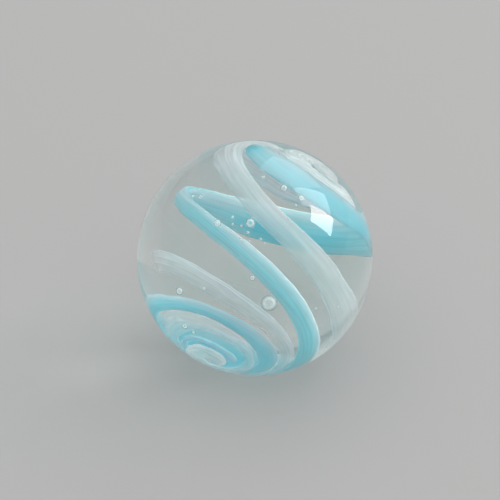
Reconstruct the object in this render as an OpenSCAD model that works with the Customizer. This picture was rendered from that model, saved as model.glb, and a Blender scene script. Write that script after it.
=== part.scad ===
// Glass swirl marble, a solid ball: clear glass with a blue and a white ribbon
// wound inside it from pole to pole, and round air bubbles outside the ribbons.
// Millimetres and degrees. The origin is the centre of the ball and +Z points
// up as the marble rests on a table.

/* [Ball] */
// outside diameter of the ball
ball_d = 20; // [17:0.5:30]

/* [Ribbons] */
// radius of the core that the ribbons are wound on, at its middle
core_radius = 5.7; // [5.3:0.1:6.2]
// half length of that core from pole to pole
core_length = 6.7; // [5.5:0.1:7.2]
// thickness of both ribbons
ribbon_thick = 0.5; // [0.3:0.05:0.8]
// width of the blue ribbon where it is widest
blue_width = 2.4; // [1.2:0.05:2.4]
// width of the white ribbon where it is widest
white_width = 2.2; // [1.1:0.05:2.2]

/* [Swirl axis] */
// angle from straight up to the pole where both ribbons start
pole_from_up = 126; // [0:1:180]
// compass direction of that pole, counted from +X towards +Y
pole_heading = 235; // [0:1:360]
// turn of the whole swirl about its own axis
swirl_turn = 64; // [0:1:360]

/* [Bubbles] */
// diameter of the largest air bubble
bubble_d = 1.3; // [0.6:0.05:1.5]

/* [Hidden] */
ball_r = ball_d / 2;
// the core sits slightly off the centre of the ball
core_shift = [0.3, -0.6, 0];

// Each ribbon is followed in quarter turns about the swirl axis. For each quarter
// turn the lists give its angle from the starting pole in degrees, its width as
// a share of its widest, and how far its middle stands off the core in mm.
white_polar = [5.5, 9.3, 7, 12, 25.5, 30.3, 29.8, 39, 49, 56, 66, 80, 87.5, 108.7, 132.5, 135.5,
  152, 170, 169, 164, 170];
white_share = [0.43, 0.77, 0.56, 0.8, 0.31, 0.41, 0.74, 0.49, 0.4, 0.56, 0.49, 0.65, 0.92, 0.7,
  0.8, 1, 0.73, 0.75, 0.84, 1, 0.7];
white_lift = [0.9, 0.9, 0.9, 0.8, 0.1, 0, 0, 0, 0, 0, 0, 0, 0.2, 0.1, 0.35, -0.5, -0.5, -0.4, -0.4,
  -0.4, -0.4];
blue_polar = [14.2, 13.7, 17, 25, 36.7, 40.9, 43.3, 58.5, 62.5, 81.8, 99, 110.5, 133.3, 146.2, 146];
blue_share = [0.41, 0.22, 0.17, 0.3, 0.52, 0.36, 0.42, 0.85, 0.6, 0.53, 0.42, 0.55, 0.68, 1, 0.5];
blue_lift = [0, 0, 0, 0, 0, 0, 0.6, 0.2, 0, 0, -0.3, 0.1, 0.3, 0, 0.5];

// Each bubble: its turn about the swirl axis and its angle from the starting
// pole in degrees, how far out it lies from the core (0) to the ball's surface
// (1), and its diameter as a share of the largest.
bubbles = [
  [72, 68, 0.5, 1],
  [103, 98, 0.5, 0.6],
  [130, 53, 0.5, 0.5],
  [119, 91, 0.55, 0.45],
  [97, 124, 0.45, 0.45],
  [127, 33, 0.45, 0.4],
  [84, 122, 0.55, 0.4],
  [88, 75, 0.55, 0.35],
  [136, 99, 0.6, 0.3],
  [141, 98, 0.6, 0.25],
  [113, 124, 0.45, 0.25],
  [117, 30, 0.4, 0.25],
  [103, 89, 0.55, 0.25],
  [111, 60, 0.6, 0.25],
  [45, 78, 0.5, 0.2],
  [32, 85, 0.55, 0.2],
  [85, 118, 0.45, 0.2],
  [114, 97, 0.45, 0.2],
  [107, 95, 0.45, 0.18],
  [112, 94, 0.45, 0.15],
  [102, 93.5, 0.45, 0.2],
  [94, 93.5, 0.45, 0.18],
  [91, 92.5, 0.45, 0.15],
  [99, 90, 0.45, 0.18]
];

// sections along a ribbon in each quarter turn, and points round a section
per_quarter = 12;
round_points = 8;

// slope of a smooth curve through the listed values, at value i
function slope(list, i) =
  i <= 0 ? list[1] - list[0] :
  i >= len(list) - 1 ? list[i] - list[i - 1] :
  (list[i + 1] - list[i - 1]) / 2;

// height of that curve at a place u, counted in values from the first
function smooth(list, u) =
  let (i = min(floor(u), len(list) - 2), t = u - i)
  list[i] * (1 + 2 * t) * (1 - t) * (1 - t)
  + slope(list, i) * t * (1 - t) * (1 - t)
  + list[i + 1] * t * t * (3 - 2 * t)
  - slope(list, i + 1) * t * t * (1 - t);

// a ribbon has its full size along most of its length and rounds off at its ends
function end_size(u, last) =
  let (near = min(u, last - u, 0.3) / 0.3)
  max(0.15, sqrt(near * (2 - near)));

// a point at a turn and an angle from the pole, raised above the core by lift
function core_point(turn, polar, lift) =
  core_shift + [
    (core_radius + lift) * sin(polar) * cos(turn),
    (core_radius + lift) * sin(polar) * sin(turn),
    (core_length + lift) * cos(polar)
  ];

// the points of a ribbon's section at place u, an oval lying on the core
function section(polar, share, lift, width, u) =
  let (
    size = end_size(u, len(polar) - 1) / cos(180 / round_points),
    half_angle = width / 2 / core_radius * 180 / PI,
    across = smooth(share, u) * half_angle * size,
    raise = ribbon_thick / 2 * size,
    base = smooth(lift, u)
  )
  [for (k = [0.5 : round_points])
    let (a = 360 * k / round_points)
    core_point(90 * u, smooth(polar, u) + across * cos(a), base + raise * sin(a))];

module ribbon(polar, share, lift, width) {
  last = (len(polar) - 1) * per_quarter;
  points = [for (j = [0 : last]) each section(polar, share, lift, width, j / per_quarter)];
  sides = [for (j = [0 : last - 1], k = [0 : round_points - 1])
    let (a = j * round_points + k, b = j * round_points + (k + 1) % round_points)
    each [[a, b, b + round_points], [a, b + round_points, a + round_points]]];
  first_end = [for (k = [1 : round_points]) round_points - k];
  last_end = [for (k = [0 : round_points - 1]) last * round_points + k];
  polyhedron(points, concat(sides, [first_end, last_end]));
}

// turns the swirl's own axis from straight up to where it points in the ball
module in_swirl() {
  rotate([0, pole_from_up, pole_heading]) rotate(swirl_turn) children();
}

module blue_shape() {
  in_swirl() ribbon(blue_polar, blue_share, blue_lift, blue_width);
}

module white_shape() {
  in_swirl() ribbon(white_polar, white_share, white_lift, white_width);
}

module bubble_shapes() {
  in_swirl()
    for (b = bubbles)
      translate(core_point(b[0], b[1], b[2] * (ball_r - core_radius))) sphere(d = b[3] * bubble_d);
}

module clear_glass() {
  color([0.8, 0.86, 0.84, 0.35])
  difference() {
    sphere(d = ball_d);
    blue_shape();
    white_shape();
    bubble_shapes();
  }
}

module blue_ribbon() {
  color([0.35, 0.7, 0.78]) blue_shape();
}

module white_ribbon() {
  color([0.85, 0.88, 0.88]) white_shape();
}

clear_glass();
blue_ribbon();
white_ribbon();
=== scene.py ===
# %% [markdown]
# # A glass swirl marble
# The real thing is one ball of fused glass. A clear casing surrounds two
# ribbons of coloured glass, one sky blue and one milky white, that wind from
# pole to pole, and a few round air bubbles float outside them. This lesson
# grows the ribbons with one Geometry Nodes tree, the casing and its bubbles
# with another, and then spends most of its care on how glass takes light.
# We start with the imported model, which says how big everything is.

# %% Load the frame
import math

import bpy
from mathutils import Matrix, Vector


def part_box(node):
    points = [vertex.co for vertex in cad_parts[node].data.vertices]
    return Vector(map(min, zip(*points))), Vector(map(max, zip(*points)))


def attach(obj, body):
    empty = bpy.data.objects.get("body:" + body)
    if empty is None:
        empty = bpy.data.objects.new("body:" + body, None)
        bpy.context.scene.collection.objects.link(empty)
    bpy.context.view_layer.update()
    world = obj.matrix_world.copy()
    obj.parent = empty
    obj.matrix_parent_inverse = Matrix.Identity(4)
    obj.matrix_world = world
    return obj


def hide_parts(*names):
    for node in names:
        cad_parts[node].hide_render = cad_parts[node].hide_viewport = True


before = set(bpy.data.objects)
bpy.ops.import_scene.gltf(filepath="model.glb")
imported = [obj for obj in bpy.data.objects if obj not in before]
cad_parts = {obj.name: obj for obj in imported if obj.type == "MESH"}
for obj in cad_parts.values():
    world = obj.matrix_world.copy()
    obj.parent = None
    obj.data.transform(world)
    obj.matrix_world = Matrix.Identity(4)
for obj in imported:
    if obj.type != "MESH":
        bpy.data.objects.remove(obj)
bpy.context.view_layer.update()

MM = 0.001

# %% [markdown]
# The ball's size comes from the casing's own box, so nothing here has to be
# fitted by eye. The smallest of its three sides is taken, which keeps the ball
# inside the measured size. The ribbons are wound on an egg-shaped core that
# sits a little off the ball's centre. The ball lies as it fell, so the axis of
# the swirl points down and to one side, and three turns describe it.

# %% Sizes of the marble
GLASS_LOW, GLASS_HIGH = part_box("clear_glass")
BALL_RADIUS = min(high - low for low, high in zip(GLASS_LOW, GLASS_HIGH)) / 2
CORE_RADIUS = 5.7 * MM
CORE_LENGTH = 6.7 * MM
CORE_SHIFT = Vector((0.3, -0.6, 0)) * MM
RIBBON_THICK = 0.5 * MM
BLUE_WIDTH = 2.4 * MM
WHITE_WIDTH = 2.2 * MM
POLE_FROM_UP, POLE_HEADING, SWIRL_TURN = 126, 235, 64
SWIRL = (
    Matrix.Rotation(math.radians(POLE_HEADING), 4, "Z")
    @ Matrix.Rotation(math.radians(POLE_FROM_UP), 4, "Y")
    @ Matrix.Rotation(math.radians(SWIRL_TURN), 4, "Z")
)
print(f"ball radius {BALL_RADIUS / MM:.3f} mm")

# %% [markdown]
# A ribbon is written down the way a glass worker winds it: for each quarter
# turn about the swirl axis, how far it has come from the starting pole in
# degrees, how wide it is there as a share of its widest, and how far its middle
# stands off the core in millimetres. The ribbon keeps the unevenness of hand
# work without a long list of points.

# %% Where the ribbons run
WHITE_POLAR = [5.5, 9.3, 7, 12, 25.5, 30.3, 29.8, 39, 49, 56, 66, 80, 87.5, 108.7, 132.5, 135.5,
               152, 170, 169, 164, 170]
WHITE_SHARE = [0.43, 0.77, 0.56, 0.8, 0.31, 0.41, 0.74, 0.49, 0.4, 0.56, 0.49, 0.65, 0.92, 0.7,
               0.8, 1, 0.73, 0.75, 0.84, 1, 0.7]
WHITE_LIFT = [0.9, 0.9, 0.9, 0.8, 0.1, 0, 0, 0, 0, 0, 0, 0, 0.2, 0.1, 0.35, -0.5, -0.5, -0.4, -0.4,
              -0.4, -0.4]
BLUE_POLAR = [14.2, 13.7, 17, 25, 36.7, 40.9, 43.3, 58.5, 62.5, 81.8, 99, 110.5, 133.3, 146.2, 146]
BLUE_SHARE = [0.41, 0.22, 0.17, 0.3, 0.52, 0.36, 0.42, 0.85, 0.6, 0.53, 0.42, 0.55, 0.68, 1, 0.5]
BLUE_LIFT = [0, 0, 0, 0, 0, 0, 0.6, 0.2, 0, 0, -0.3, 0.1, 0.3, 0, 0.5]
print("quarter turns:", len(BLUE_POLAR) - 1, "blue,", len(WHITE_POLAR) - 1, "white")

# %% [markdown]
# The colour isn't the same all along either. Where a gather of glass was
# stretched most it thins out, and where it was folded it piles up. Painted
# light rides on the same tables: a stretch is made paler where the ribbon
# should look lit and deeper where it should look shaded, as on the far turns
# of the white ribbon, which are painted much paler for the light that shines
# through them. So each ribbon also has a table of looks, one row for each place
# where they change: the place in quarter turns, how dense the glass is (0 is
# clear), how much it fades towards one edge (0 is even), and how pale it is (1
# is its middle tone, and the paleness is partly painted light and shade).

# %% How the colour changes along them
LOOKS = ("dense", "fade", "pale")
# The pale values of 1.9 and 2 from 13.8 on are painted light: they brighten the far turns, which lie
# in shade behind the near ones.
WHITE_LOOK = [
    (0, 0.9, 0, 0.7), (2, 0.85, 0, 0.8), (3, 0.7, 0.1, 0.8), (4, 0.6, 0.4, 0.7), (5, 0.55, 0.4, 0.8),
    (6, 0.6, 0.4, 0.9), (7, 0.3, 0.5, 1.2), (7.8, 0.6, 0.3, 0.8), (8.2, 0.85, 0.2, 0.8),
    (8.55, 0.85, 0.8, 1.1), (8.9, 0.95, 0.6, 1.5), (9.2, 0.97, 0.35, 1.6), (9.8, 0.92, 0.5, 1.7),
    (10.3, 0, 1, 1.5), (11.4, 0.1, 0.5, 1), (12, 0.8, 0.35, 1.4), (12.7, 0.82, 0.35, 0.85),
    (13.3, 0.85, 0.3, 1.0), (13.8, 0.97, 0, 1.9), (15, 0.97, 0, 2), (17, 0.95, 0, 2),
    (19, 0.95, 0, 2), (20, 0.8, 0, 2),
]
# Here too the pale column is partly painted light and shade, such as the lighter and deeper stretches
# of the far band from 10.2 to 11.5.
BLUE_LOOK = [
    (0, 0.8, 0, 1.2), (2, 0.65, 0, 1.2), (4, 0.93, 0, 0.92), (7, 0.95, 0, 0.82), (8.3, 1, 0, 1.05),
    (9, 1, 0, 1.1), (9.6, 1, 0, 1.15), (10.2, 1, 0, 1.5), (10.55, 1, 0, 1.45), (10.95, 1, 0, 0.45),
    (11.2, 1, 0, 0.75), (11.5, 1, 0, 1.2), (11.8, 0.9, 0, 1.2), (12.1, 0.72, 0, 0.85),
    (12.6, 0.85, 0, 1), (13.2, 0.95, 0, 1.6), (13.6, 0.97, 0, 1.5), (13.85, 0.97, 0, 0.7),
    (14, 0.97, 0, 0.65),
]


def look_at(table, u):
    """The looks at a place, easing from one row of the table to the next."""
    k = max(i for i in range(len(table) - 1) if table[i][0] <= u)
    (start, *first), (stop, *second) = table[k], table[k + 1]
    t = (u - start) / (stop - start)
    t = t * t * (3 - 2 * t)
    return [a + (b - a) * t for a, b in zip(first, second)]


print("blue at the middle of its length:", dict(zip(LOOKS, look_at(BLUE_LOOK, 7))))

# %% [markdown]
# Between the quarter turns a smooth curve fills in. It passes through every
# listed value and leaves each one in the direction of its two neighbours, so
# the ribbon has no kinks. A ribbon also rounds off at its two ends, as a
# softened strand does when it is nipped off.

# %% Smooth curves through the lists
def slope(values, i):
    if i <= 0:
        return values[1] - values[0]
    if i >= len(values) - 1:
        return values[i] - values[i - 1]
    return (values[i + 1] - values[i - 1]) / 2


def smooth(values, u):
    i = min(int(u), len(values) - 2)
    t = u - i
    return (
        values[i] * (1 + 2 * t) * (1 - t) ** 2
        + slope(values, i) * t * (1 - t) ** 2
        + values[i + 1] * t * t * (3 - 2 * t)
        - slope(values, i + 1) * t * t * (1 - t)
    )


END_LENGTH = 0.3  # quarter turns over which an end rounds off
SMALLEST_END = 0.02


def end_size(u, last):
    near = min(u, last - u, END_LENGTH) / END_LENGTH
    return max(SMALLEST_END, math.sqrt(near * (2 - near)))


print("blue, half a quarter turn on:", round(smooth(BLUE_POLAR, 0.5), 2), "degrees from the pole")

# %% [markdown]
# Geometry Nodes can't read a Python list, but they can read attributes. So
# whatever a tree has to know is put on loose points, which carry the numbers
# as attributes. Two helpers do that, and the first will place every other
# object as well.

# %% Loose points that carry numbers
def new_object(name, data):
    """An object at the origin, placed in the scene."""
    thing = bpy.data.objects.new(name, data)
    bpy.context.collection.objects.link(thing)
    return thing


def loose_points(name, places, columns):
    """Points without edges, and for each column one number stored on every point."""
    mesh = bpy.data.meshes.new(name)
    mesh.from_pydata(places, [], [])
    for column, values in columns.items():
        mesh.attributes.new(column, "FLOAT", "POINT").data.foreach_set("value", values)
    return new_object(name, mesh)


print("helpers:", new_object.__name__, loose_points.__name__)

# %% [markdown]
# Every section of a ribbon becomes one such point, and the tree looks its
# numbers up by its index. Forty sections to a quarter turn are enough for the
# curve to look smooth through the lens of the ball.

# %% Lay out the sections
PER_QUARTER = 40


def lay_sections(name, width, polar, share, lift, look):
    """One point for each section of a ribbon, with what the section needs to know."""
    last = len(polar) - 1
    places = [j / PER_QUARTER for j in range(last * PER_QUARTER + 1)]
    looks = [look_at(look, u) for u in places]
    return loose_points(name, [(u, 0, 0) for u in places], {
        "turn": [math.radians(90 * u) for u in places],
        "polar": [math.radians(smooth(polar, u)) for u in places],
        "half_angle": [smooth(share, u) * width / 2 / CORE_RADIUS for u in places],
        "lift": [smooth(lift, u) * MM for u in places],
        "end_size": [end_size(u, last) for u in places],
        **dict(zip(LOOKS, zip(*looks))),
    })


blue_sections = lay_sections(
    "blue_sections", BLUE_WIDTH, BLUE_POLAR, BLUE_SHARE, BLUE_LIFT, BLUE_LOOK)
white_sections = lay_sections(
    "white_sections", WHITE_WIDTH, WHITE_POLAR, WHITE_SHARE, WHITE_LIFT, WHITE_LOOK)
print("sections:", len(blue_sections.data.vertices), len(white_sections.data.vertices))

# %% [markdown]
# Building node trees by hand takes many small steps, so a few helpers keep the
# cells short. One shorthand adds a node to a tree and fills its inputs, and
# another does arithmetic with such nodes. Both take either a plain value or the
# output of another node.

# %% Helpers for node trees
def adder(tree):
    """A shorthand that adds a node to this tree and fills its inputs."""
    def add(kind, inputs=None, **settings):
        node = tree.nodes.new(kind)
        for name, value in settings.items():
            setattr(node, name, value)
        for name, value in (inputs or {}).items():
            if isinstance(value, bpy.types.NodeSocket):
                tree.links.new(value, node.inputs[name])
            else:
                node.inputs[name].default_value = value
        return node

    return add


def calculator(add):
    """A shorthand that does arithmetic with the nodes that `add` makes."""
    def calc(operation, *values):
        return add("ShaderNodeMath", dict(enumerate(values)), operation=operation).outputs[0]

    return calc


def new_tree(name, inputs):
    """A Geometry Nodes tree with one Geometry output and these named inputs."""
    tree = bpy.data.node_groups.new(name, "GeometryNodeTree")
    tree.interface.new_socket("Geometry", in_out="OUTPUT", socket_type="NodeSocketGeometry")
    for label, kind in inputs.items():
        tree.interface.new_socket(label, in_out="INPUT", socket_type="NodeSocket" + kind)
    given = tree.nodes.new("NodeGroupInput").outputs
    result = tree.nodes.new("NodeGroupOutput").inputs[0]
    return tree, given, result


print("helpers:", adder.__name__, calculator.__name__, new_tree.__name__)

# %% [markdown]
# The ribbon tree starts from a closed tube and bends it into place. Every
# point of the tube knows which ring it belongs to and where it sits round that
# ring. A sweep along a curve could make a ribbon too, but it would scale the
# thickness with the width, and a drawn ribbon keeps its thickness. The first
# part of the tree makes the tube, with one ring for each section. The tube is
# 1 high and centred, so a point's height in it tells the number of its ring.

# %% Ribbon tree: a tube with a ring for each section
RIBBON_TREE, given, result = new_tree("Wound ribbon", {
    "Sections": "Object", "Core Radius": "Float", "Core Length": "Float", "Core Shift": "Vector",
    "Thickness": "Float", "Round Points": "Int", "Unevenness": "Float", "Seed": "Float",
    "Swirl Turn": "Vector", "Material": "Material",
})
add = adder(RIBBON_TREE)
calc = calculator(add)
sections = add("GeometryNodeObjectInfo", {"Object": given["Sections"]}).outputs["Geometry"]
count = add("GeometryNodeAttributeDomainSize", {"Geometry": sections}, component="MESH")
last_ring = calc("SUBTRACT", count.outputs["Point Count"], 1)
tube = add("GeometryNodeMeshCylinder", {
    "Vertices": given["Round Points"], "Side Segments": last_ring, "Radius": 1.0, "Depth": 1.0,
}).outputs["Mesh"]
place = add("ShaderNodeSeparateXYZ", {0: add("GeometryNodeInputPosition").outputs[0]}).outputs
across = place["X"]
upward = calc("MULTIPLY", place["Y"], -1)
ring = calc("ROUND", calc("MULTIPLY", calc("ADD", place["Z"], 0.5), last_ring))
print("nodes so far:", len(RIBBON_TREE.nodes))

# %% [markdown]
# Now each ring looks up the numbers of its section, by its own index.

# %% Ribbon tree: what each ring knows
def of_ring(column):
    """A number that is stored on the section of a point's ring."""
    stored = add("GeometryNodeInputNamedAttribute", {"Name": column}, data_type="FLOAT")
    return add(
        "GeometryNodeSampleIndex",
        {"Geometry": sections, "Value": stored.outputs["Attribute"], "Index": ring},
        data_type="FLOAT", domain="POINT",
    ).outputs[0]


turn = of_ring("turn")
size = of_ring("end_size")
print("nodes so far:", len(RIBBON_TREE.nodes))

# %% [markdown]
# Hot glass never runs quite straight. One noise, sampled by how far round the
# swirl a point is, sways the ribbon sideways and swells its width and its
# thickness. It differs slightly between the two edges, so they aren't parallel.

# %% Ribbon tree: slow waves
SIDE_SWAY, WIDTH_SWELL, THICKNESS_SWELL = 0.04, 0.5, 0.8
WAVES_ALONG, EDGES_APART = 1.3, 0.7
along_and_across = add("ShaderNodeCombineXYZ", {
    0: turn, 1: calc("MULTIPLY", across, EDGES_APART), 2: given["Seed"],
}).outputs[0]
noise = add("ShaderNodeTexNoise", {
    "Vector": along_and_across, "Scale": WAVES_ALONG, "Detail": 2.0, "Roughness": 0.6,
})
waves = add("ShaderNodeSeparateXYZ", {0: noise.outputs["Color"]}).outputs


def wave(channel, amount):
    """One channel of the noise, as a swing about zero."""
    centred = calc("SUBTRACT", waves[channel], 0.5)
    return calc("MULTIPLY", centred, calc("MULTIPLY", given["Unevenness"], amount))


print("nodes so far:", len(RIBBON_TREE.nodes))

# %% [markdown]
# The section is an oval, a little fuller at its edges than an ellipse, as a
# rod of glass is when it is pressed flat. Its width is an angle as seen from
# the core's centre, and its thickness is a length.

# %% Ribbon tree: an oval section
FULLNESS = 0.8
full_height = calc("MULTIPLY", calc("SIGN", upward), calc("POWER", calc("ABSOLUTE", upward), FULLNESS))
half_thick = calc("DIVIDE", given["Thickness"], 2)
half_thick = calc("MULTIPLY", calc("ADD", 1.0, wave(2, THICKNESS_SWELL)), half_thick)
raised = calc("MULTIPLY_ADD", calc("MULTIPLY", full_height, size), half_thick, of_ring("lift"))
spread = calc("MULTIPLY", calc("MULTIPLY", across, size), of_ring("half_angle"))
spread = calc("MULTIPLY", spread, calc("ADD", 1.0, wave(1, WIDTH_SWELL)))
polar = calc("ADD", calc("ADD", of_ring("polar"), wave(0, SIDE_SWAY)), spread)
print("nodes so far:", len(RIBBON_TREE.nodes))

# %% [markdown]
# Turn, polar angle and height above the core are like longitude, latitude and
# altitude, so the usual sines and cosines wind the point round the core.

# %% Ribbon tree: wind it on the core
flat = calc("MULTIPLY", calc("ADD", given["Core Radius"], raised), calc("SINE", polar))
wound = add("ShaderNodeCombineXYZ", {
    "X": calc("MULTIPLY", flat, calc("COSINE", turn)),
    "Y": calc("MULTIPLY", flat, calc("SINE", turn)),
    "Z": calc("MULTIPLY", calc("ADD", given["Core Length"], raised), calc("COSINE", polar)),
}).outputs[0]
shifted = add(
    "ShaderNodeVectorMath", {0: wound, 1: given["Core Shift"]}, operation="ADD").outputs[0]
print("nodes so far:", len(RIBBON_TREE.nodes))

# %% [markdown]
# Before the tube is bent we store what the glass needs later: how far across
# and along the ribbon each point lies, and its three looks. They stay on the
# mesh as attributes, so the colour follows the ribbon wherever it winds. The
# tree ends in Realize Instances and Set Material.

# %% Ribbon tree: marks, bend, turn and finish
marks = {"across": across, "along": turn, **{look: of_ring(look) for look in LOOKS}}
ribbon = tube
for mark, value in marks.items():
    ribbon = add(
        "GeometryNodeStoreNamedAttribute", {"Geometry": ribbon, "Name": mark, "Value": value},
        data_type="FLOAT", domain="POINT",
    ).outputs[0]
for kind, inputs in (
    ("GeometryNodeSetPosition", {"Position": shifted}),
    ("GeometryNodeTransform", {"Rotation": given["Swirl Turn"]}),
    ("GeometryNodeSetShadeSmooth", {}),
    ("GeometryNodeRealizeInstances", {}),
    ("GeometryNodeSetMaterial", {"Material": given["Material"]}),
):
    ribbon = add(kind, {"Geometry": ribbon, **inputs}).outputs[0]
RIBBON_TREE.links.new(ribbon, result)
print("ribbon tree:", len(RIBBON_TREE.nodes), "nodes")

# %% [markdown]
# Air bubbles are perfect little spheres, because surface tension pulls them
# round before the glass stiffens. There is one large one, a few of middling
# size, and a trail of seeds as fine as dust where the two glasses met. Each is
# listed by its turn and polar angle, how far out it lies from the core to the
# ball's surface, and its size as a share of the largest.

# %% Where the bubbles float
LARGEST_BUBBLE = 1.3 * MM  # across
OUTSIDE_CORE = 4.3 * MM  # from the core to the ball's surface
BUBBLES = [
    (72, 68, 0.5, 1), (103, 98, 0.5, 0.6), (130, 53, 0.5, 0.5), (119, 91, 0.55, 0.45),
    (97, 124, 0.45, 0.45), (127, 33, 0.45, 0.4), (84, 122, 0.55, 0.4), (88, 75, 0.55, 0.35),
    (136, 99, 0.6, 0.3), (141, 98, 0.6, 0.25), (113, 124, 0.45, 0.25), (117, 30, 0.4, 0.25),
    (103, 89, 0.55, 0.25), (111, 60, 0.6, 0.25), (45, 78, 0.5, 0.2), (32, 85, 0.55, 0.2),
    (85, 118, 0.45, 0.2), (114, 97, 0.45, 0.2), (107, 95, 0.45, 0.18), (112, 94, 0.45, 0.15),
    (102, 93.5, 0.45, 0.2), (94, 93.5, 0.45, 0.18), (91, 92.5, 0.45, 0.15), (99, 90, 0.45, 0.18),
]


def bubble_points():
    places, sizes = [], []
    for turn, polar, outward, share in BUBBLES:
        lift = outward * OUTSIDE_CORE
        turn, polar = math.radians(turn), math.radians(polar)
        flat = (CORE_RADIUS + lift) * math.sin(polar)
        height = (CORE_LENGTH + lift) * math.cos(polar)
        place = Vector((flat * math.cos(turn), flat * math.sin(turn), height))
        places.append(SWIRL @ (place + CORE_SHIFT))
        sizes.append(share * LARGEST_BUBBLE / 2)
    return loose_points("bubble_points", places, {"bubble_radius": sizes})


bubbles = bubble_points()
print("bubbles:", len(bubbles.data.vertices))

# %% [markdown]
# The casing is the ball itself with the bubbles as holes in it. A bubble is a
# hole in the glass, so its faces are flipped and point into the hole, away
# from the glass. Each one is an instance of one small sphere on a point that
# carries its size. The ball is a subdivided icosahedron, which has no poles
# where faces would bunch up and show in the reflections.

# %% The casing tree
CASING_TREE, given, result = new_tree("Clear casing", {
    "Ball Radius": "Float", "Fineness": "Int", "Bubble Points": "Object", "Bubble Fineness": "Int",
    "Glass": "Material", "Bubble Wall": "Material",
})
add = adder(CASING_TREE)
ball = add("GeometryNodeMeshIcoSphere", {
    "Radius": given["Ball Radius"], "Subdivisions": given["Fineness"],
}).outputs["Mesh"]
one_bubble = add("GeometryNodeMeshIcoSphere", {
    "Radius": 1.0, "Subdivisions": given["Bubble Fineness"],
}).outputs["Mesh"]
points = add("GeometryNodeObjectInfo", {"Object": given["Bubble Points"]}).outputs["Geometry"]
radius = add("GeometryNodeInputNamedAttribute", {"Name": "bubble_radius"}, data_type="FLOAT")
placed = add("GeometryNodeInstanceOnPoints", {
    "Points": points, "Instance": one_bubble, "Scale": radius.outputs["Attribute"],
}).outputs[0]
holes = add("GeometryNodeRealizeInstances", {"Geometry": placed}).outputs[0]
holes = add("GeometryNodeFlipFaces", {"Mesh": holes}).outputs[0]
holes = add(
    "GeometryNodeStoreNamedAttribute", {"Geometry": holes, "Name": "hollow", "Value": True},
    data_type="BOOLEAN", domain="FACE",
).outputs[0]
print("nodes so far:", len(CASING_TREE.nodes))

# %% [markdown]
# Ball and holes are joined into one mesh with two materials: everything gets
# the glass first, and then the marked faces get the bubble wall.

# %% The casing tree: join and finish
joined = add("GeometryNodeJoinGeometry")
for part in (holes, ball):
    CASING_TREE.links.new(part, joined.inputs[0])
is_hollow = add("GeometryNodeInputNamedAttribute", {"Name": "hollow"}, data_type="BOOLEAN")
shell = joined.outputs[0]
for kind, inputs in (
    ("GeometryNodeSetShadeSmooth", {}),
    ("GeometryNodeRealizeInstances", {}),
    ("GeometryNodeSetMaterial", {"Material": given["Glass"]}),
    ("GeometryNodeSetMaterial", {
        "Selection": is_hollow.outputs["Attribute"], "Material": given["Bubble Wall"]}),
):
    shell = add(kind, {"Geometry": shell, **inputs}).outputs[0]
CASING_TREE.links.new(shell, result)
print("casing tree:", len(CASING_TREE.nodes), "nodes")

# %% [markdown]
# Both ribbons are the same kind of work: a rod of coloured glass, laid on and
# drawn out until it is thin. Across it the colour runs from deeper along one
# edge to pale along the other. That is partly the glass thinning to a pale skin
# and partly painted light: the pale edge stands for the lit side and the deeper
# edge for the shaded side. One shader group makes that for both, from the marks
# on the mesh, and each ribbon gives it its own colours. The group needs to know
# how far a place leans to the pale side, and a noise drawn out along the ribbon
# makes that wander, so the tones run in broad streaks. A finer noise of the
# same kind adds thin strands, which show best near the poles.

# %% Drawn glass: inputs and lean
STREAKS_ACROSS, STRANDS_ACROSS = 2.5, 5.0
STREAK_LAYER, STRAND_LAYER = 0.0, 5.0  # two places in the noise, so they aren't alike
STREAK_WAVER, STRAND_WAVER = 0.0, 0.4
DRAWN_GLASS = bpy.data.node_groups.new("Drawn glass", "ShaderNodeTree")
# Pale is the pale skin and also the painted lit side; Rim is the colour of a painted edge line, shade
# on the blue ribbon and highlight on the milky one.
for label in ("Pale", "Body", "Deep", "Rim"):
    DRAWN_GLASS.interface.new_socket(label, in_out="INPUT", socket_type="NodeSocketColor")
for label in ("Streaks", "Fine Streaks", "Rim Width", "Rim Cover"):
    DRAWN_GLASS.interface.new_socket(label, in_out="INPUT", socket_type="NodeSocketFloat")
DRAWN_GLASS.interface.new_socket("Color", in_out="OUTPUT", socket_type="NodeSocketColor")
DRAWN_GLASS.interface.new_socket("Alpha", in_out="OUTPUT", socket_type="NodeSocketFloat")
add = adder(DRAWN_GLASS)
calc = calculator(add)
given = add("NodeGroupInput").outputs
result = add("NodeGroupOutput").inputs
across, along, dense, fade, pale = (
    add("ShaderNodeAttribute", attribute_name=mark).outputs["Fac"]
    for mark in ("across", "along", *LOOKS)
)


def drawn_noise(lines_across, layer, waver, amount):
    """A noise drawn out along the ribbon, as a swing about zero."""
    squeezed = calc("MULTIPLY", across, lines_across)
    where = add("ShaderNodeCombineXYZ", {0: squeezed, 1: along, 2: layer}).outputs[0]
    noise = add("ShaderNodeTexNoise", {
        "Vector": where, "Scale": 1.0, "Detail": 2.0, "Roughness": 0.5, "Distortion": waver})
    return calc("MULTIPLY", calc("SUBTRACT", noise.outputs["Fac"], 0.5), amount)


streaks = drawn_noise(STREAKS_ACROSS, STREAK_LAYER, STREAK_WAVER, given["Streaks"])
strands = drawn_noise(STRANDS_ACROSS, STRAND_LAYER, STRAND_WAVER, given["Fine Streaks"])
lean = calc("ADD", across, streaks)
print("nodes so far:", len(DRAWN_GLASS.nodes))

# %% [markdown]
# The tone decides the colour: below zero it goes from the body colour to the
# deep one, and above zero to the pale one, so the painted lit and shaded sides
# come in here. At each edge a fine line is painted in place of the ribbon's side
# wall: on the blue ribbon a darker line, which is painted shade, and on the
# milky one a bright line, which is a painted highlight. The line is weaker on
# the side where the ribbon fades away.

# %% Drawn glass: colour
PALE_FROM, PALE_FULL = -0.1, 1.0  # places across the ribbon, from edge -1 to edge 1
LINE_FADE_FROM, LINE_FADE_FULL = 0.2, -0.2  # places across it too
DEEPEST_TONE = -0.5


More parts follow.
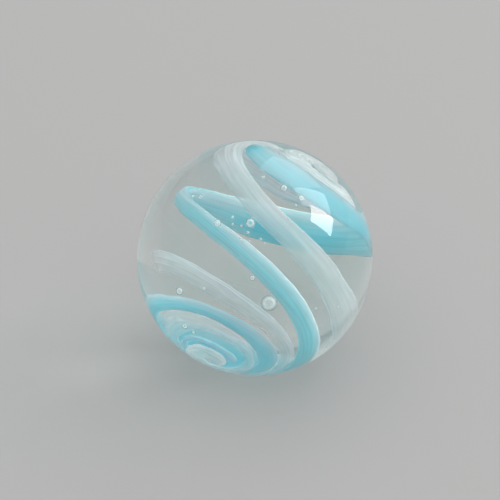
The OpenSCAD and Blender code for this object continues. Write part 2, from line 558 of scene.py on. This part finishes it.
def between(value, low, high, kind="SMOOTHSTEP"):
    """From 0 to 1 as the value goes from low to high."""
    inputs = {"Value": value, "From Min": low, "From Max": high}
    return add("ShaderNodeMapRange", inputs, interpolation_type=kind).outputs[0]


def mix_colour(factor, a, b):
    return add("ShaderNodeMix", {"Factor": factor, 6: a, 7: b}, data_type="RGBA").outputs[2]


def all_but(a, b):
    return calc("SUBTRACT", 1.0, calc("MULTIPLY", a, b))


# Painted light: the tone rises towards the +1 edge and with the pale column, which paints the lit side
# paler.
tone = calc("ADD", between(lean, PALE_FROM, PALE_FULL), calc("SUBTRACT", pale, 1.0))
tone = calc("ADD", tone, strands)
body = mix_colour(between(tone, 0.0, 1.0, "LINEAR"), given["Body"], given["Pale"])
body = mix_colour(between(tone, 0.0, DEEPEST_TONE, "LINEAR"), body, given["Deep"])
inner = calc("SUBTRACT", 1.0, given["Rim Width"])
# The fine edge line is painted: shade or highlight standing for the ribbon's side wall, in the Rim
# colour.
painted_edge_line = between(calc("ABSOLUTE", across), inner, 1.0)
painted_edge_line = calc("MULTIPLY", painted_edge_line, all_but(fade, between(across, LINE_FADE_FROM, LINE_FADE_FULL)))
DRAWN_GLASS.links.new(mix_colour(painted_edge_line, body, given["Rim"]), result["Color"])
print("nodes so far:", len(DRAWN_GLASS.nodes))

# %% [markdown]
# The cover says how much of what lies behind the ribbon is hidden. A look
# through a ribbon crosses its surface twice, on the way in and on the way out,
# so each crossing gets a share that makes up the cover in two steps. The fine
# strands are a little thicker and thinner than the glass around them, and the
# edge line has a cover of its own wherever the glass is dense enough.

# %% Drawn glass: cover
STRAND_THICKNESS = 1.5
FADE_FROM, FADE_FULL = 0.7, -0.8  # places across the ribbon again
LINE_FROM, LINE_FULL = 0.1, 0.8  # densities at which the edge line comes in
thickness = calc("MULTIPLY_ADD", strands, STRAND_THICKNESS, 1.0)
kept = all_but(fade, between(lean, FADE_FROM, FADE_FULL))
cover = calc("MULTIPLY", calc("MULTIPLY", dense, thickness), kept)
cover = calc("MINIMUM", cover, 1.0)
line_cover = calc("MULTIPLY", given["Rim Cover"], between(dense, LINE_FROM, LINE_FULL))
cover = calc("ADD", cover, calc("MULTIPLY", painted_edge_line, calc("SUBTRACT", line_cover, cover)))
seen_through = calc("SQRT", calc("SUBTRACT", 1.0, cover))
DRAWN_GLASS.links.new(calc("SUBTRACT", 1.0, seen_through), result["Alpha"])
print("drawn glass:", len(DRAWN_GLASS.nodes), "nodes")

# %% [markdown]
# Milky and coloured glass is full of specks too small to see, and light
# scatters among them before it comes back out. Subsurface scattering gives
# that soft inner glow, with a reach of a few millimetres. A ribbon has no
# gloss of its own, because it is fused into the casing: glass against glass
# reflects nothing. The gloss is all on the outside of the ball.

# %% Ribbon materials
GLOW_REACH = 3.5 * MM


def new_material(name):
    """A material without nodes, and the shorthand that adds nodes to it."""
    material = bpy.data.materials.new(name)
    material.use_nodes = True
    material.node_tree.nodes.clear()
    return material, adder(material.node_tree)


def ribbon_material(name, values):
    material, add = new_material(name)
    drawn = add("ShaderNodeGroup", node_tree=DRAWN_GLASS)
    for label, value in values.items():
        drawn.inputs[label].default_value = value
    shader = add("ShaderNodeBsdfPrincipled", {
        "Base Color": drawn.outputs["Color"], "Alpha": drawn.outputs["Alpha"],
        "Roughness": 0.5, "Specular IOR Level": 0.0,
        "Subsurface Weight": 1.0, "Subsurface Radius": (1.0, 1.0, 1.0),
        "Subsurface Scale": GLOW_REACH,
    })
    add("ShaderNodeOutputMaterial", {"Surface": shader.outputs[0]})
    return material


# The blue Rim is darker than its body, a painted shade along the edge, and its Pale is partly a
# painted lit side.
BLUE_GLASS = ribbon_material("sky blue glass", {
    "Pale": (0.41, 0.66, 0.80, 1), "Body": (0.215, 0.675, 0.885, 1),
    "Deep": (0.035, 0.525, 0.78, 1), "Rim": (0.17, 0.60, 0.78, 1),
    "Streaks": 0.8, "Fine Streaks": 0.05, "Rim Width": 0.05, "Rim Cover": 1.0,
})
# The milky Rim is near white, a painted highlight along the edge, and its Pale is partly a painted lit
# side.
WHITE_GLASS = ribbon_material("milky glass", {
    "Pale": (0.99, 0.98, 0.985, 1), "Body": (0.74, 0.86, 0.865, 1),
    "Deep": (0.60, 0.80, 0.82, 1), "Rim": (0.93, 0.97, 0.99, 1),
    "Streaks": 1.0, "Fine Streaks": 0.25, "Rim Width": 0.08, "Rim Cover": 0.95,
})
print("ribbon materials:", BLUE_GLASS.name, "and", WHITE_GLASS.name)

# %% [markdown]
# Clear glass is never quite clear. The batch is folded and drawn, which leaves
# fine cords of a greener tint that run with the swirl, and shaping by hand
# leaves the faintest swells on its skin. Both are noises on Object
# coordinates, turned to the swirl axis and stretched along it. A glass shader
# alone would throw a black shadow, since the lamps can't find their way
# through it, so shadow rays see a tinted clear shader in its place, which
# also lets the light in to the ribbons.

# %% Clear casing material
GLASS_IOR = 1.5
CORD_SCALE, SWELL_SCALE, DRAWN_OUT = 120.0, 260.0, 0.35
CORD_WAVER = 1.2
CORD_LOW, CORD_HIGH = 0.35, 0.65  # values of the noise at its greenest and clearest
SWELL_HEIGHT, SWELL_STRENGTH = 0.06 * MM, 0.35
GREENER, CLEARER = (0.77, 0.945, 0.92, 1), (0.94, 0.965, 0.955, 1)
SHADOW_TINT = (0.927, 0.985, 0.975, 1)


def clear_material():
    material, add = new_material("clear casing glass")
    where = add("ShaderNodeTexCoord").outputs["Object"]
    to_axis = SWIRL.inverted().to_euler("XYZ")[:]
    turned = add("ShaderNodeMapping", {"Vector": where, "Rotation": to_axis})
    drawn = add("ShaderNodeMapping", {"Vector": turned.outputs[0], "Scale": (1, 1, DRAWN_OUT)})
    drawn = drawn.outputs[0]
    cords = add("ShaderNodeTexNoise", {
        "Vector": drawn, "Scale": CORD_SCALE, "Detail": 2.0, "Distortion": CORD_WAVER})
    cords = add("ShaderNodeMapRange", {
        "Value": cords.outputs["Fac"], "From Min": CORD_LOW, "From Max": CORD_HIGH})
    tint = add(
        "ShaderNodeMix", {"Factor": cords.outputs[0], 6: GREENER, 7: CLEARER}, data_type="RGBA")
    swells = add("ShaderNodeTexNoise", {
        "Vector": drawn, "Scale": SWELL_SCALE, "Detail": 3.0, "Roughness": 0.45})
    skin = add("ShaderNodeBump", {
        "Strength": SWELL_STRENGTH, "Distance": SWELL_HEIGHT, "Height": swells.outputs["Fac"]})
    glass = add("ShaderNodeBsdfPrincipled", {
        "Base Color": tint.outputs[2], "Roughness": 0.0, "IOR": GLASS_IOR,
        "Transmission Weight": 1.0, "Normal": skin.outputs[0],
    })
    lets_light_in = add("ShaderNodeBsdfTransparent", {"Color": SHADOW_TINT})
    either = add("ShaderNodeMixShader", {
        0: add("ShaderNodeLightPath").outputs["Is Shadow Ray"],
        1: glass.outputs[0], 2: lets_light_in.outputs[0],
    })
    add("ShaderNodeOutputMaterial", {"Surface": either.outputs[0]})
    return material


CLEAR_GLASS = clear_material()
print("casing material:", CLEAR_GLASS.name)

# %% [markdown]
# A bubble in glass shows as rings. Light that meets the hollow at a shallow
# angle bounces off as from a mirror, which makes a dusky rim with a bright
# ring inside it, and straight on we look through a clear middle. Tracing air
# inside glass would give the same rings but needs far more light paths, so two
# ramps over Layer Weight's Facing set the colour and the cover of each ring,
# and they are right from any side.

# %% Bubble wall material
RING_COLOURS = [
    (0.0, (0.80, 0.95, 1.0, 1)), (0.12, (1, 1, 1, 1)), (0.28, (1, 1, 1, 1)),
    (0.42, (0.30, 0.42, 0.40, 1)), (0.8, (0.42, 0.52, 0.50, 1)),
]
RING_COVERS = [(0.0, 0.03), (0.12, 0.5), (0.24, 0.45), (0.34, 0.12), (0.5, 0.34), (0.95, 0.6)]


def bubble_material():
    material, add = new_material("bubble wall")
    facing = add("ShaderNodeLayerWeight", {"Blend": 0.5}).outputs["Facing"]

    def ramp(stops):
        node = add("ShaderNodeValToRGB", {"Fac": facing})
        while len(node.color_ramp.elements) < len(stops):
            node.color_ramp.elements.new(0.5)
        for element, (place, colour) in zip(node.color_ramp.elements, stops):
            element.position, element.color = place, colour
        return node.outputs["Color"]

    shader = add("ShaderNodeBsdfPrincipled", {
        "Base Color": ramp(RING_COLOURS), "Roughness": 0.1,
        "Alpha": ramp([(place, (cover, cover, cover, 1)) for place, cover in RING_COVERS]),
    })
    add("ShaderNodeOutputMaterial", {"Surface": shader.outputs[0]})
    return material


BUBBLE_WALL = bubble_material()
print("rings of a bubble:", len(RING_COLOURS), "colours,", len(RING_COVERS), "covers")

# %% [markdown]
# Everything is ready to grow. A tree runs once on an empty object: its inputs
# are set by their identifiers, the result is copied into a plain mesh, and the
# empty object goes, modifier and all.

# %% Grow a piece
ROUND_POINTS = 32
BALL_FINENESS, BUBBLE_FINENESS = 7, 4
BLUE_SEED, WHITE_SEED = 3.0, 8.0


def grow(name, tree, values):
    """Runs a tree once and returns its result as a plain mesh object at the origin."""
    host = new_object(name + "_host", bpy.data.meshes.new(name + "_host"))
    modifier = host.modifiers.new("shape", "NODES")
    modifier.node_group = tree
    for item in tree.interface.items_tree:
        if item.in_out == "INPUT":
            modifier[item.identifier] = values[item.name]
    depsgraph = bpy.context.evaluated_depsgraph_get()
    mesh = bpy.data.meshes.new_from_object(host.evaluated_get(depsgraph), depsgraph=depsgraph)
    mesh.name = name
    bpy.data.objects.remove(host)
    print(f"{name}: {len(mesh.vertices)} points, {len(mesh.polygons)} faces")
    return new_object(name, mesh)


winding = {
    "Core Radius": CORE_RADIUS, "Core Length": CORE_LENGTH, "Core Shift": CORE_SHIFT[:],
    "Thickness": RIBBON_THICK, "Round Points": ROUND_POINTS, "Unevenness": 1.0,
    "Swirl Turn": SWIRL.to_euler("XYZ")[:],
}
blue = grow("sky_blue_ribbon", RIBBON_TREE, {
    **winding, "Seed": BLUE_SEED, "Sections": blue_sections, "Material": BLUE_GLASS})
white = grow("milky_ribbon", RIBBON_TREE, {
    **winding, "Seed": WHITE_SEED, "Sections": white_sections, "Material": WHITE_GLASS})
casing = grow("clear_casing", CASING_TREE, {
    "Ball Radius": BALL_RADIUS, "Fineness": BALL_FINENESS, "Glass": CLEAR_GLASS,
    "Bubble Points": bubbles, "Bubble Fineness": BUBBLE_FINENESS, "Bubble Wall": BUBBLE_WALL,
})

# %% [markdown]
# The marble is fused into one, so all three pieces ride on its one body. Each
# stands for the solid that the imported model has in its place, which is
# hidden. The loose points have done their work.

# %% Tie the pieces to the model
for spent in (blue_sections, white_sections, bubbles):
    bpy.data.objects.remove(spent)
for piece, node, slot in (
    (blue, "blue_ribbon", "blue_glass"),
    (white, "white_ribbon", "white_glass"),
    (casing, "clear_glass", "clear_glass"),
):
    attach(piece, "root")
    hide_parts(node)
    print(piece.name, "stands for", node)

# %% [markdown]
# Glass is hard to judge in front of nothing. A plain pale floor gives it
# something to stand on and to bend the view of, and it takes the soft shadow
# with the light that the ball gathers.

# %% Floor
FLOOR_HALF = 1.5  # metres
FLOOR_COLOUR = (0.432, 0.42, 0.407, 1)


def floor(z):
    mesh = bpy.data.meshes.new("floor")
    corners = [(x * FLOOR_HALF, y * FLOOR_HALF, z) for x, y in ((-1, -1), (1, -1), (1, 1), (-1, 1))]
    mesh.from_pydata(corners, [], [(0, 1, 2, 3)])
    material, add = new_material("pale floor")
    shader = add("ShaderNodeBsdfPrincipled", {
        "Base Color": FLOOR_COLOUR, "Roughness": 0.8, "Specular IOR Level": 0.2})
    add("ShaderNodeOutputMaterial", {"Surface": shader.outputs[0]})
    mesh.materials.append(material)
    new_object("floor", mesh)


floor(GLASS_LOW[2])
print("floor at", round(GLASS_LOW[2] / MM, 3), "mm")

# %% [markdown]
# A shiny ball shows its lamps, so the lamps have to be worth seeing. Three
# soft panes stand side by side at much the same height, like a window's: the
# nearest one warm and bright, the others cooler and fainter. Together they
# leave one bent highlight with corners on the upper right of the ball.

# %% Light
PANE_DISTANCE = 1.0  # metres
PANES = [  # name, compass heading and height in degrees, size in metres, strength, colour
    ("near pane", 12, 29, (0.29, 0.40), 9.2, (1.0, 0.98, 0.97)),
    ("middle pane", 31, 35, (0.32, 0.50), 3.3, (0.92, 0.97, 1.0)),
    ("far pane", 63, 35, (0.60, 0.50), 1.1, (0.75, 0.92, 1.0)),
]


def toward(heading, height):
    """The direction from the ball to a compass heading and a height above the floor."""
    turn, rise = math.radians(heading), math.radians(height)
    return Vector((math.cos(rise) * math.cos(turn), math.cos(rise) * math.sin(turn), math.sin(rise)))


for name, heading, height, pane_size, strength, colour in PANES:
    data = bpy.data.lights.new(name, "AREA")
    data.shape = "RECTANGLE"
    data.size, data.size_y = pane_size
    data.energy = strength * math.pi * pane_size[0] * pane_size[1]
    data.color = colour
    pane = new_object(name, data)
    away = toward(heading, height)
    pane.location = away * PANE_DISTANCE
    pane.rotation_euler = away.to_track_quat("Z", "Y").to_euler()
    print(f"{name}: {data.energy:.2f} W")

# %% [markdown]
# The rest of the light is a pale room. It is brighter overhead than at the
# walls, and the darker walls matter more than they seem: near its edge the
# ball bends the view the most and shows them as a thin darker line, which is
# what makes its outline read as glass.

# %% Room
ROOM_COLOUR = (0.96, 0.98, 1.0, 1)
WALL_LIGHT, CEILING_LIGHT = 0.36, 0.98
WALL_TOP, CEILING_EDGE = 0.05, 0.75  # how far up one looks: 0 is level, 1 straight up


def room():
    world = bpy.data.worlds.new("pale room")
    bpy.context.scene.world = world
    world.use_nodes = True
    add = adder(world.node_tree)
    background = world.node_tree.nodes["Background"]
    background.inputs["Color"].default_value = ROOM_COLOUR
    view = add("ShaderNodeSeparateXYZ", {0: add("ShaderNodeTexCoord").outputs["Generated"]})
    strength = add("ShaderNodeMapRange", {
        "Value": view.outputs["Z"], "From Min": WALL_TOP, "From Max": CEILING_EDGE,
        "To Min": WALL_LIGHT, "To Max": CEILING_LIGHT,
    })
    world.node_tree.links.new(strength.outputs[0], background.inputs["Strength"])
    return world


print("room:", room().name)

# %% [markdown]
# The camera looks down at the ball from in front with a long lens from close
# by, as one does to fill the view with something so small. The slight shift
# sets the ball just off the centre of the view. Standard view transform keeps
# the colours as they were mixed.

# %% Camera
CAMERA_DISTANCE = 200 * MM
CAMERA_HEADING, CAMERA_HEIGHT = -90, 40  # degrees
SENSOR_WIDTH, FOCAL_LENGTH = 36, 170  # millimetres
SHIFT = (-0.0096, 0.016)  # shares of the view's width
NEAREST_SEEN = 0.01  # metres


def camera():
    data = bpy.data.cameras.new("camera")
    data.sensor_width = SENSOR_WIDTH
    data.lens = FOCAL_LENGTH
    data.shift_x, data.shift_y = SHIFT
    data.clip_start = NEAREST_SEEN
    cam = new_object("camera", data)
    away = toward(CAMERA_HEADING, CAMERA_HEIGHT)
    cam.location = away * CAMERA_DISTANCE
    cam.rotation_euler = away.to_track_quat("Z", "Y").to_euler()
    return cam


bpy.context.scene.camera = camera()
bpy.context.scene.view_settings.view_transform = "Standard"
print("camera at", [round(v / MM, 1) for v in bpy.context.scene.camera.location], "mm")
